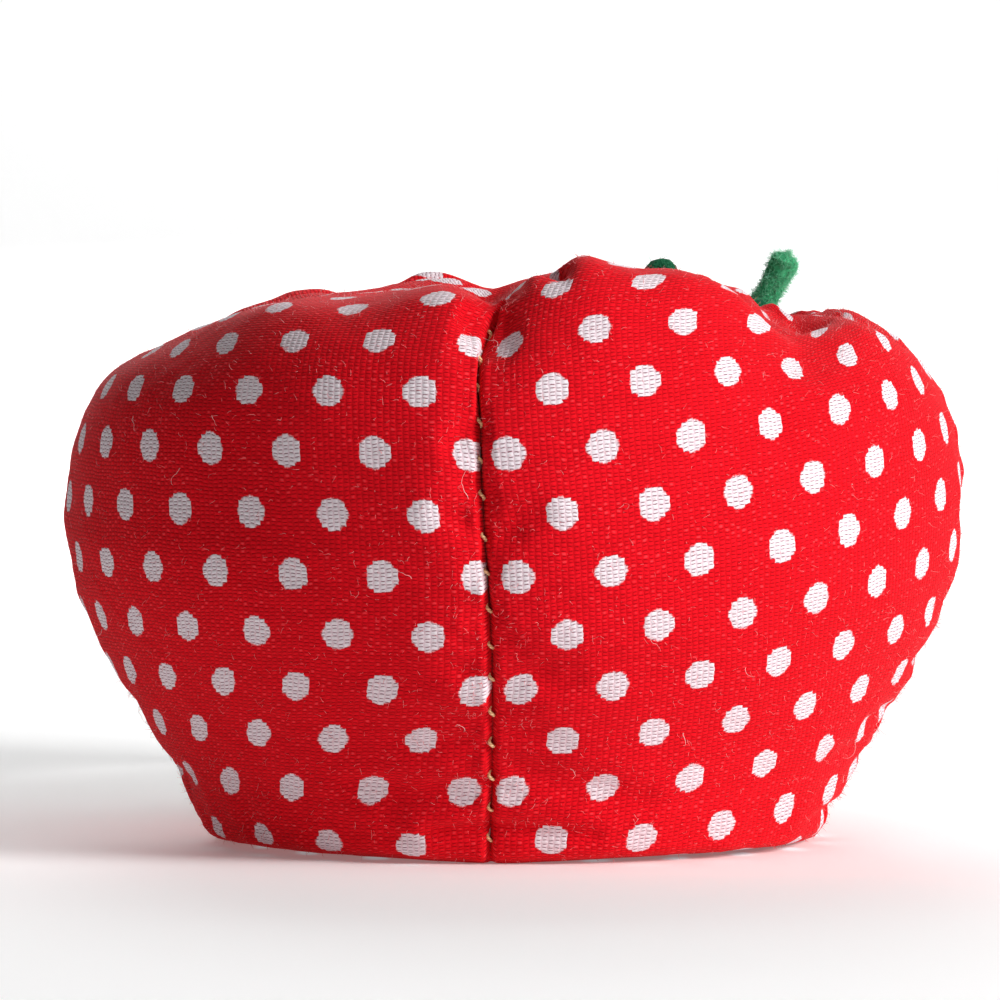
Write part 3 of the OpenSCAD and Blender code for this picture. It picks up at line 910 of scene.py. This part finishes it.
def tubes(name, paths, radius, sides=6, taper=False, closed=False):
    """One mesh of a tube along each path, in mm. A tapered one thins out towards its end."""
    verts, faces, uvs = [], [], []
    turn = np.linspace(0, 2 * np.pi, sides, endpoint=False)
    for path in paths:
        path = np.asarray(path, float)
        count = len(path)
        if closed:
            loop = np.vstack([path[-2:], path, path[:2]])
            u, w = (part[2:-2] for part in frames_along(loop))
        else:
            u, w = frames_along(path)
        step = np.linalg.norm(np.diff(path, axis=0), axis=1)
        along = np.concatenate([[0], np.cumsum(step)])
        r = np.full(count, radius)
        if taper:
            r = radius * np.linspace(1, 0.3, count)
        elif not closed:
            r[[0, -1]] *= 0.55
        ring = u[:, None] * np.cos(turn)[None, :, None] + w[:, None] * np.sin(turn)[None, :, None]
        base = len(verts)
        verts.extend((path[:, None] + ring * r[:, None, None]).reshape(-1, 3))
        for i in range(count if closed else count - 1):
            k = (i + 1) % count
            for j in range(sides):
                m = (j + 1) % sides
                here, there = base + i * sides, base + k * sides
                faces.append((here + j, here + m, there + m, there + j))
                a, b = along[i], along[i + 1] if i + 1 < count else along[i] + step[-1]
                uvs.extend(((j / sides, a), ((j + 1) / sides, a), ((j + 1) / sides, b), (j / sides, b)))
        if not closed:
            for end, order in ((0, range(sides - 1, -1, -1)), (count - 1, range(sides))):
                faces.append(tuple(base + end * sides + j for j in order))
                uvs.extend((j / sides, along[end]) for j in order)
    mesh = bpy.data.meshes.new(name)
    mesh.from_pydata((np.array(verts) * MM).tolist(), [], faces)
    mesh.polygons.foreach_set("use_smooth", [True] * len(faces))
    mesh.uv_layers.new(name="cloth").data.foreach_set("uv", np.array(uvs, np.float32).ravel())
    return new_object(name, mesh)


def own(obj, material, body, nodes=()):
    """Gives a piece its material and CAD body, and hides the CAD nodes that it stands for."""
    obj.data.materials.append(material)
    if nodes:
        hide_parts(*nodes)
    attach(obj, body)


def curl(start, direction, length, bend, pieces, r):
    """A short bent fibre that starts at a point."""
    points = [np.array(start, float)]
    d = np.array(direction, float)
    for _ in range(pieces):
        d = d + r.normal(0, bend, 3)
        d /= np.linalg.norm(d)
        points.append(points[-1] + d * length / pieces)
    return points


def off_floor(path):
    """The same path, kept just above the floor."""
    return np.maximum(path, [-np.inf, -np.inf, 0.03])


def fibres_on(points, normals, count, length, radius, name, seed, spread=0.8, bend=0.35, pieces=3, sides=3):
    """Short fibres that stand on random places of a surface."""
    r = np.random.default_rng(seed)
    pick = r.integers(0, len(points), count)
    paths = []
    for k in pick:
        way = normals[k] + r.normal(0, spread, 3)
        if np.dot(way, normals[k]) < 0.1:
            way = way - normals[k] * (np.dot(way, normals[k]) - 0.25)
        way /= np.linalg.norm(way)
        path = curl(points[k] - 0.05 * normals[k], way, length * r.uniform(0.4, 1.3), bend, pieces, r)
        paths.append(off_floor(path))
    return tubes(name, paths, radius, sides, taper=True)


# ---------------------------------------------------------------- seams, gathers and filling
GATHER_SHARE = 0.075  # where the gathering thread runs, as a share of the way out


def build_seam_thread(side, degrees, material, settled):
    """Continuous thread that shows as a short slanted stitch at each pitch and dips between them."""
    phi = np.radians(np.array([degrees - 0.2, degrees, degrees + 0.2]) + SEAM_TURN)
    share, z, upper = profile(phi)
    points = skin(phi[None, :], share, z, upper)
    n = normals_of(points)[:, 1]
    across = points[:, 2] - points[:, 0]
    across /= np.linalg.norm(across, axis=1, keepdims=True)
    line = points[:, 1]
    length = lengths(points, 0)[:, 1]
    if settled is not None:
        line = line + stuffed_offsets(*settled, np.array([float(degrees)]), len(points))[:, 0]
    first = np.searchsorted(line[:, 2], 0.9)
    last = ROWS["base"] + ROWS["corner"] + ROWS["wall"] + int(ROWS["dome"] * 0.86)
    s = np.arange(length[first], length[last], 0.11)
    at = np.stack([np.interp(s, length, line[:, k]) for k in range(3)], 1)
    up = np.stack([np.interp(s, length, n[:, k]) for k in range(3)], 1)
    side_way = np.stack([np.interp(s, length, across[:, k]) for k in range(3)], 1)
    beat = (s / SEAM_PITCH + 0.06 * wavy(31, 3, 11.0, s)) % 1.0 - 0.5
    shown = np.exp(-((beat / 0.115) ** 4))
    depth = -0.9 + 0.78 * shown
    slant = -0.95 * beat * SEAM_PITCH * shown
    path = at + up * depth[:, None] + side_way * (slant - 0.05)[:, None]
    obj = tubes("seam_thread_" + side + "_sewn", [path], radius=0.12, sides=7)
    own(obj, material, "cushion", ["seam_thread_" + side])


def build_gather_thread(material):
    """Running thread that draws the top of the gores together, in and out of their pleats."""
    phi = np.linspace(0, 2 * np.pi, 220, endpoint=False)
    share = np.full((1, len(phi)), GATHER_SHARE)
    ring = skin(phi[None, :], share, upper_z(share, phi[None, :]), np.ones(share.shape))[0]
    ring[:, 2] += 0.25 + 0.42 * np.sin(13 * phi) + 0.1 * ripple(41, 3, 5, 9, phi)
    obj = tubes("gather_thread_sewn", [ring], radius=0.22, sides=7, closed=True)
    own(obj, material, "cushion", ["gather_thread"])


def build_tip_stitches(material):
    """Star of hand stitches that closes the tip underneath."""
    low, high = box_mm("tip_stitches")
    middle, reach = (low + high) / 2, (high[0] - low[0]) / 2
    paths = []
    for k in range(5):
        a = math.radians(60 * k + 9 * math.sin(5 * k))
        t = np.linspace(-1, 1, 13)
        bow = 0.12 * (1 - t * t)
        x = middle[0] + reach * t * math.cos(a) - bow * math.sin(a)
        y = middle[1] + reach * t * math.sin(a) + bow * math.cos(a)
        paths.append(np.stack([x, y, 0.26 + 0.5 * t**6 + 0.06 * k * (1 - t * t)], 1))
    obj = tubes("tip_stitches_sewn", paths, radius=0.17, sides=7)
    own(obj, material, "cushion", ["tip_stitches"])


def build_filling(material):
    """Lumpy ball of fibre that fills the cotton, closed at both ends."""
    phi = np.linspace(0, 2 * np.pi, 150, endpoint=False)
    share, z, upper = profile(phi)
    points = skin(phi[None, :], share, z, upper)
    n = normals_of(points)
    x, y, z = points[..., 0], points[..., 1], points[..., 2]
    lumps = wavy(51, 5, 9.0, x + y) + wavy(52, 5, 8.0, y - z) + wavy(53, 5, 7.0, z + x)
    inset = 2.8 + 0.3 * np.clip(lumps, -2, 2)
    points = points - n * inset[..., None]
    guard_low, _ = box_mm("needle_guard")
    points[..., 1] = np.minimum(points[..., 1], guard_low[1] - 0.3 + 0.12 * np.clip(lumps, -2, 0))
    obj = grid_object("filling_fibre", points[::3], closed=True)
    close_ends(obj.data, len(phi))
    own(obj, material, "cushion", ["filling"])


# ---------------------------------------------------------------- calyx and stem
def top_place(x, y):
    """Share and angle of the place on the top above (x, y), by halving."""
    low, high = np.full(np.shape(x), 0.001), np.full(np.shape(x), 0.93)
    for _ in range(22):
        mid = (low + high) / 2
        c = centre_of(mid, np.ones(np.shape(x)))
        dx, dy = (x - c[..., 0]) / HALF_W, y - c[..., 1]
        dy = dy / np.where(dy < 0, FRONT_D, BACK_D)
        out = np.hypot(dx, dy) > mid
        low, high = np.where(out, mid, low), np.where(out, high, mid)
    return mid, np.arctan2(dy, dx)


def top_height(x, y):
    share, phi = top_place(x, y)
    z = upper_z(share, phi)
    return z + rim_rise(x, y, z, share)


SEPALS = 5
SEPAL_TIP = 11.0  # distance of a tip from the middle, mm
SEPAL_NOTCH = 3.6  # and of the notch between two sepals
SEPAL_TAPER = 1.25  # more makes the sepals thinner
STEM_NOTCH = 0.30  # half angle kept clear for the stem, radians
FELT_T = 1.25  # thickness of the felt, mm


def build_calyx(material, fuzz):
    """Felt star that lies in the gathered hollow, with soft edges and slightly curled sepals."""
    around, rows = 240, 22
    a = np.linspace(0, 2 * np.pi, around, endpoint=False)
    wave = (1 - np.cos(SEPALS * a)) / 2
    reach = SEPAL_NOTCH + (SEPAL_TIP - SEPAL_NOTCH) * wave**SEPAL_TAPER
    from_stem = np.abs((a + np.pi) % (2 * np.pi) - np.pi)
    beside_stem = SEPAL_NOTCH + 12 * np.maximum(0, from_stem - STEM_NOTCH)
    reach = np.where(from_stem < 0.6, np.minimum(reach, beside_stem), reach)
    # the two sepals on either side of the stem are shorter
    short = 1 - 0.48 * np.exp(-(((a - math.radians(324)) / 0.45) ** 2))
    short = short - 0.35 * np.exp(-(((a - math.radians(36)) / 0.45) ** 2))
    reach = SEPAL_NOTCH + (reach - SEPAL_NOTCH) * short * (1 + 0.04 * ripple(61, 4, 5, 11, a))
    k = np.linspace(0.02, 1, rows)
    edge = np.concatenate([k, [1.0, 0.985], k[::-1][2:]])
    soft = np.concatenate([1 - 0.5 * np.clip((k - 0.9) / 0.1, 0, 1) ** 2, [0.5, 0.0], np.zeros(rows - 2)])
    r = edge[:, None] * reach[None, :]
    front_sepal = np.exp(-(((a - math.radians(252)) / 0.5) ** 2))
    swing = a + 0.18 * front_sepal * smooth(r, 3.0, 11.0)
    x = TOP_XY[0] + r * np.cos(swing)
    y = TOP_XY[1] + r * np.sin(swing)
    z = top_height(x, y) + 0.5
    curl_up = (0.2 + 0.4 * front_sepal) * smooth(r, 6.0, 11.0)
    side_wave = 0.22 * smooth(r, 3.0, 8.0) * np.sin(SEPALS * a * 2 + 1.0)
    z = z + curl_up + side_wave + FELT_T * soft[:, None] + 0.07 * wavy(63, 4, 2.0, x) * wavy(64, 4, 2.0, y)
    points = np.stack([x, y, z], -1)[::-1]
    obj = grid_object("calyx_felt", points, closed=True)
    close_ends(obj.data, around)
    own(obj, material, "cushion", ["calyx"])
    n = normals_of(points).reshape(-1, 3)
    hairs = fibres_on(points.reshape(-1, 3), n, count=2600, length=0.75, radius=0.022,
                      name="calyx_fuzz", seed=65)
    own(hairs, fuzz, "cushion")


def build_calyx_stitches(material):
    """Star of hand stitches that holds the calyx down in its middle."""
    low, high = box_mm("calyx_stitches")
    middle, reach = (low + high) / 2, (high[0] - low[0]) / 2
    paths = []
    for k in range(5):
        a = math.radians(36 * k + 8 * math.sin(3 * k))
        t = np.linspace(-1, 1, 15)
        x, y = middle[0] + reach * t * math.cos(a), middle[1] + reach * t * math.sin(a)
        z = top_height(x, y) + 0.55 + FELT_T + 0.30 - 0.75 * t**6 + 0.07 * k * (1 - t * t)
        paths.append(np.stack([x, y, z], 1))
    obj = tubes("calyx_stitches_sewn", paths, radius=0.2, sides=7)
    own(obj, material, "cushion", ["calyx_stitches"])


def squared(v):
    """A sine or cosine bent towards a square section."""
    return np.sign(v) * np.abs(v) ** 0.75


def build_stem(material, fuzz):
    """Soft strip of felt that stands in a notch of the calyx and leans over the rim."""
    low, high = box_mm("stem_strip")
    around, rows = 30, 34
    foot = np.array([low[0] + 1.2, (low[1] + high[1]) / 2, low[2] + 0.95])
    t = np.linspace(-0.09, 1, rows)
    tall = high[2] - low[2] - 0.8
    x = foot[0] - 0.2 + 2.8 * np.sin(np.clip(t, 0, 1) * 0.8) / math.sin(0.8)
    z = foot[2] + tall * t
    middle = np.stack([x, foot[1] + 0.25 * np.sin(3 * t), z], 1)
    tangent = np.gradient(middle, axis=0)
    tangent /= np.linalg.norm(tangent, axis=1, keepdims=True)
    side = np.cross(tangent, np.array([0.0, 1.0, 0.0]))
    turn = np.linspace(0, 2 * np.pi, around, endpoint=False)
    close = np.sqrt(np.clip(1 - np.clip((t - 0.86) / 0.14, 0, 1) ** 2, 0.02, 1)) * np.sqrt(
        np.clip(1 - np.clip((0.0 - t) / 0.09, 0, 1) ** 2, 0.02, 1))
    half_t = (0.84 + 0.12 * np.clip(t, 0, 1)) * close * (1 + 0.06 * np.sin(9 * t))
    half_w = 1.2 * close * (1 + 0.05 * np.sin(7 * t + 1))
    twist = 0.35 * t
    thick_way = squared(np.cos(turn))[None, :] * half_t[:, None]
    wide_way = squared(np.sin(turn))[None, :] * half_w[:, None]
    a = side * np.cos(twist)[:, None] + np.array([0, 1.0, 0]) * np.sin(twist)[:, None]
    b = -side * np.sin(twist)[:, None] + np.array([0, 1.0, 0]) * np.cos(twist)[:, None]
    points = middle[:, None] + a[:, None] * thick_way[..., None] + b[:, None] * wide_way[..., None]
    ruff = 0.07 * wavy(71, 4, 1.1, points[..., 2]) * wavy(72, 4, 0.9, points[..., 0] + points[..., 1])
    n = normals_of(np.concatenate([points, points[:, :1]], 1))[:, :-1]
    centre = points.mean(1, keepdims=True)
    n = np.where(((points - centre) * n).sum(-1, keepdims=True) < 0, -n, n)
    points = points + n * ruff[..., None]
    obj = grid_object("stem_felt", points, closed=True)
    close_ends(obj.data, around)
    own(obj, material, "stem", ["stem_strip"])
    hairs = fibres_on(points.reshape(-1, 3), n.reshape(-1, 3), count=3000, length=0.5, radius=0.02,
                      name="stem_fuzz", seed=73)
    own(hairs, fuzz, "stem")


# ---------------------------------------------------------------- wrist side
PATCH_POWER = 5.0  # 2 would make the patch an ellipse, more squares its corners


def patch_reach(c, s, half):
    """Distance of the patch's edge from its middle, towards the angle with that cosine and sine."""
    return (abs(c / half[0]) ** PATCH_POWER + abs(s / half[2]) ** PATCH_POWER) ** (-1 / PATCH_POWER)


def build_patch(material, fuzz):
    """Felt patch with round corners and a soft, slightly uneven edge."""
    low, high = box_mm("wrist_patch")
    middle, half = (low + high) / 2, (high - low) / 2
    around, rings = 200, 26
    a = np.linspace(0, 2 * np.pi, around, endpoint=False)
    c, s = np.cos(a), np.sin(a)
    reach = patch_reach(c, s, half) * (1 + 0.004 * ripple(81, 5, 6, 14, a))
    k = np.linspace(0.01, 1, rings) ** 0.8
    r = np.concatenate([k, [1.0], k[::-1]])[:, None] * reach[None, :]
    roundness = np.clip((k - 0.93) / 0.07, 0, 1) ** 2
    front = half[1] * (1 - 0.45 * roundness)
    depth = np.concatenate([front, [0.0], -front[::-1]])[:, None] + 0 * r
    x, z = middle[0] + r * c, middle[2] + r * s
    depth = depth + 0.06 * wavy(82, 4, 3.0, x) * wavy(83, 4, 3.0, z) - 0.25 * smooth(r / reach, 0.86, 1.0)
    y = middle[1] + np.clip(depth, -half[1], half[1] + 0.1)
    points = np.stack([x, y, z], -1)
    obj = grid_object("wrist_patch_felt", points, closed=True)
    close_ends(obj.data, around)
    own(obj, material, "cushion", ["wrist_patch"])
    face = points[:rings + 1].reshape(-1, 3)
    n = np.tile([0.0, 1.0, 0.0], (len(face), 1))
    rim = np.repeat(np.arange(rings + 1) > rings - 4, around)
    outward = np.stack([np.tile(c, rings + 1), np.zeros(len(face)), np.tile(s, rings + 1)], 1)
    n = np.where(rim[:, None], 0.5 * n + outward, n)
    hairs = fibres_on(face, n, count=3200, length=0.7, radius=0.022, name="patch_fuzz", seed=84)
    own(hairs, fuzz, "cushion")


def build_patch_stitches(material):
    """Whip stitches right round the edge of the patch."""
    low, high = box_mm("wrist_patch")
    middle, half = (low + high) / 2, (high - low) / 2
    paths = []
    count = 34
    for k in range(count):
        a = 2 * math.pi * (k + 0.15 * math.sin(7 * k)) / count
        c, s = math.cos(a), math.sin(a)
        t = np.linspace(0, 1, 11)
        r = patch_reach(c, s, half) - 1.9 + 2.35 * t
        skew = 0.35 * (t - 0.5)
        over = high[1] + 0.16 - 0.7 * (1 - t) ** 8 - 1.75 * smooth(t, 0.62, 1.0)
        x = middle[0] + r * c - skew * s
        z = middle[2] + r * s + skew * c
        paths.append(np.stack([x, over, z], 1))
    obj = tubes("patch_stitches_sewn", paths, radius=0.16, sides=6)
    own(obj, material, "cushion", ["patch_stitches"])


def strip(name, path, width, thick, seed, material, whole=None, before=0.0):
    """Elastic along a level path, in mm. Its uv map is (along, across) in mm. On a ring whose length is
    whole, the yarn is fitted so that it meets itself, and before is the length ahead of this piece."""
    path = np.asarray(path, float)
    t = np.gradient(path, axis=0)
    t /= np.linalg.norm(t, axis=1, keepdims=True)
    out = np.cross(t, np.array([0.0, 0.0, 1.0]))
    along = np.concatenate([[0], np.cumsum(np.linalg.norm(np.diff(path, axis=0), axis=1))])
    half = width / 2
    across = np.linspace(-half + 0.5, half - 0.5, 40)
    edge = np.radians(np.linspace(60, -60, 5))
    near = np.stack([across, np.full(40, thick / 2)], 1)
    right = np.stack([half - 0.5 + 0.5 * np.cos(edge), thick / 2 * np.sin(edge)], 1)
    section = np.vstack([near, right, near[::-1] * [1, -1], right * [-1, 1] * np.array([1, -1])])
    rib = 0.05 * np.abs(np.sin(np.pi * section[:, 0] / ELASTIC_RIB))
    section[:, 1] += np.sign(section[:, 1]) * (rib - 0.05)
    scallop = 0.06 * np.sin(along * 2 * np.pi / 1.3) * smooth(np.minimum(along, along[-1] - along), 0.0, 3.0)
    up = section[None, :, 0]
    up = up + np.sign(up) * scallop[:, None] * (np.abs(up) > half - 0.6)
    points = path[:, None] + out[:, None] * section[None, :, 1, None] + np.array([0, 0, 1.0]) * up[..., None]
    fitted = 1.0 if whole is None else round(whole / (2 * ELASTIC_PICK)) * 2 * ELASTIC_PICK / whole
    near_end = np.minimum(along, along[-1] - along)
    crimp = 0.05 * wavy(seed, 4, 2.4, along) * smooth(near_end, 0.0, 4.0)
    points = points + out[:, None] * crimp[:, None, None]
    yarn = (along + before) * fitted
    uv = np.stack([yarn[:, None] + 0 * section[None, :, 0], section[None, :, 0] + 0 * yarn[:, None]], -1)
    obj = grid_object(name, points, uv, closed=True)
    close_ends(obj.data, len(section))
    obj.data.materials.append(material)
    return obj


def build_band(material):
    """The elastic: a ring whose ends lap on the patch, in an inner and an outer piece."""
    under_low, under_high = box_mm("band_under_end")
    over_low, over_high = box_mm("band_over_end")
    _, side_high = box_mm("band_right_side")
    far_low, _ = box_mm("band_far_run")
    width = under_high[2] - under_low[2]
    thick = under_high[1] - under_low[1]
    level = (under_high[2] + under_low[2]) / 2
    run_y = (under_low[1] + under_high[1]) / 2
    run_half = under_high[0]
    side_x = side_high[0] - thick / 2
    root_r = side_x - run_half
    bend_y = run_y + root_r
    far_y = far_low[1]

    def right_root(step):
        a = np.arange(0, math.pi / 2, step / root_r)
        return np.stack([run_half + root_r * np.sin(a), bend_y - root_r * np.cos(a), 0 * a + level], 1)

    def fine(points, step):
        points = np.asarray(points, float)
        d = np.concatenate([[0], np.cumsum(np.linalg.norm(np.diff(points, axis=0), axis=1))])
        want = np.linspace(0, d[-1], int(d[-1] / step) + 2)
        return np.stack([np.interp(want, d, points[:, k]) for k in range(3)], 1)

    root = np.vstack([right_root(0.3), [[side_x, bend_y, level]]])
    mirrored = root[::-1] * [-1, 1, 1]
    inner_len, outer_len = 2 * run_half + math.pi * root_r, math.pi * side_x + 2 * (far_y - bend_y)
    whole = inner_len + outer_len
    inner_path = fine(np.vstack([mirrored, root]), 0.4)
    inner = strip("band_inner_elastic", inner_path, width, thick, 91, material, whole)
    a = np.linspace(0, math.pi, 200)
    ring = np.stack([side_x * np.cos(a), far_y + side_x * np.sin(a), 0 * a + level], 1)
    path = np.vstack([[[side_x, bend_y, level]], ring, [[-side_x, bend_y, level]]])
    outer = strip("band_outer_elastic", fine(path, 0.45), width, thick, 92, material, whole, inner_len)
    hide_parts("band_under_end", "band_left_side", "band_right_side")
    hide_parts("band_far_run")
    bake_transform(inner)
    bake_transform(outer)
    # the end that laps over the first one, pressed down at both of its edges
    over_y = (over_low[1] + over_high[1]) / 2
    x = np.linspace(over_low[0], over_high[0], 50)
    dip = 0.35 * smooth(np.abs(x), over_high[0] - 2.2, over_high[0])
    path = np.stack([x, over_y - dip, 0 * x + level], 1)
    over = strip("band_over_elastic", path, width - 0.3, thick, 93, material)
    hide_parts("band_over_end")
    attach(over, "cushion")


def build_box_stitches(material):
    """Box of machine stitches with a cross, through both ends of the elastic."""
    low, high = box_mm("band_box_stitches")
    half_w, half_h, pitch = 7.5, 6.0, 2.5
    level = (low[2] + high[2]) / 2
    face = low[1] + 0.05
    knots = np.array([(-half_w, -half_h), (half_w, -half_h), (half_w, half_h), (-half_w, half_h)])
    paths = []
    for number, (first, last) in enumerate(((0, 1), (1, 2), (2, 3), (3, 0), (0, 2), (1, 3))):
        start, end = knots[first], knots[last]
        length = np.linalg.norm(end - start)
        count = int(round(length / pitch))
        along = np.linspace(0, 1, count * 12 + 1)
        beat = np.abs(np.sin(np.pi * along * count)) ** 0.5
        place = start + (end - start) * along[:, None]
        y = face - 0.55 + (0.62 + 0.08 * (number > 3)) * beat
        paths.append(np.stack([place[:, 0], y, level + place[:, 1]], 1))
    obj = tubes("band_box_stitches_sewn", paths, radius=0.16, sides=7)
    own(obj, material, "cushion", ["band_box_stitches"])


# ---------------------------------------------------------------- cotton fuzz and lint
LINT_COUNT = 64


def build_fuzz(cloud, normals, white, red):
    """Short red hairs of the cotton itself, and a few long pale threads of lint that lie on it."""
    short = fibres_on(cloud, normals, count=11000, length=0.55, radius=0.02, name="cotton_fuzz", seed=101,
                      spread=0.9, bend=0.45)
    own(short, red, "cushion")
    r = np.random.default_rng(102)
    paths = []
    for k in r.integers(0, len(cloud), LINT_COUNT):
        way = normals[k] * 0.25 + r.normal(0, 1, 3)
        way -= normals[k] * (np.dot(way, normals[k]) - 0.3)
        way /= np.linalg.norm(way)
        path = curl(cloud[k] + 0.03 * normals[k], way, r.uniform(1.0, 3.2), 0.28, 14, r)
        paths.append(off_floor(path))
    own(tubes("lint", paths, radius=0.018, sides=4, taper=True), white, "cushion")


# ---------------------------------------------------------------- making everything
add_camera()
add_world()
add_lamps()
add_stage()
settled = stuffed()

cotton = cotton_material()
tan_thread = thread_material("tan_thread", rgb(0.62, 0.24, 0.08), rgb(1.0, 0.72, 0.38))
red_thread = thread_material("red_thread", rgb(0.25, 0.005, 0.01), rgb(0.72, 0.02, 0.04))
green_thread = thread_material("green_thread", rgb(0.005, 0.06, 0.025), rgb(0.03, 0.24, 0.10))
grey_thread = thread_material("grey_thread", rgb(0.05, 0.05, 0.055), rgb(0.26, 0.26, 0.28))
# painted shade: the felt and fuzz of the calyx and patch are the green felt made darker, as it looks in
# shade; the stem's brighter felt and fuzz are the same green felt as it looks lit
shaded_felt = felt_material("shaded_green_felt", rgb(0.004, 0.07, 0.03), rgb(0.03, 0.24, 0.11))
bright_felt = felt_material("bright_green_felt", rgb(0.008, 0.25, 0.085), rgb(0.13, 0.70, 0.34))
shaded_fuzz = fibre_material("shaded_green_fibre", rgb(0.015, 0.16, 0.07), rgb(0.06, 0.34, 0.17))
bright_fuzz = fibre_material("bright_green_fibre", rgb(0.05, 0.42, 0.19), rgb(0.24, 0.76, 0.46))
red_fuzz = fibre_material("red_cotton_fibre", rgb(0.75, 0.03, 0.05), rgb(0.93, 0.36, 0.36))
white_fuzz = fibre_material("lint_fibre", rgb(0.85, 0.50, 0.50), rgb(0.90, 0.80, 0.78))

cloud, cloud_normals = [], []
for gore_name in GORES:
    surface, surface_normals = build_gore(gore_name, cotton, settled)
    cloud.append(surface)
    cloud_normals.append(surface_normals)
build_filling(filling_material())
for side, degrees in (("front", 270), ("left", 180), ("right", 0), ("back", 90)):
    build_seam_thread(side, degrees, tan_thread, settled)
build_gather_thread(red_thread)
build_tip_stitches(red_thread)
build_calyx(shaded_felt, shaded_fuzz)
build_calyx_stitches(green_thread)
build_stem(bright_felt, bright_fuzz)
build_patch(shaded_felt, shaded_fuzz)
build_patch_stitches(green_thread)
build_band(elastic_material())
build_box_stitches(grey_thread)
build_fuzz(np.vstack(cloud), np.vstack(cloud_normals), white_fuzz, red_fuzz)
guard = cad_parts["needle_guard"]
guard.data.materials.clear()
guard.data.materials.append(guard_material())
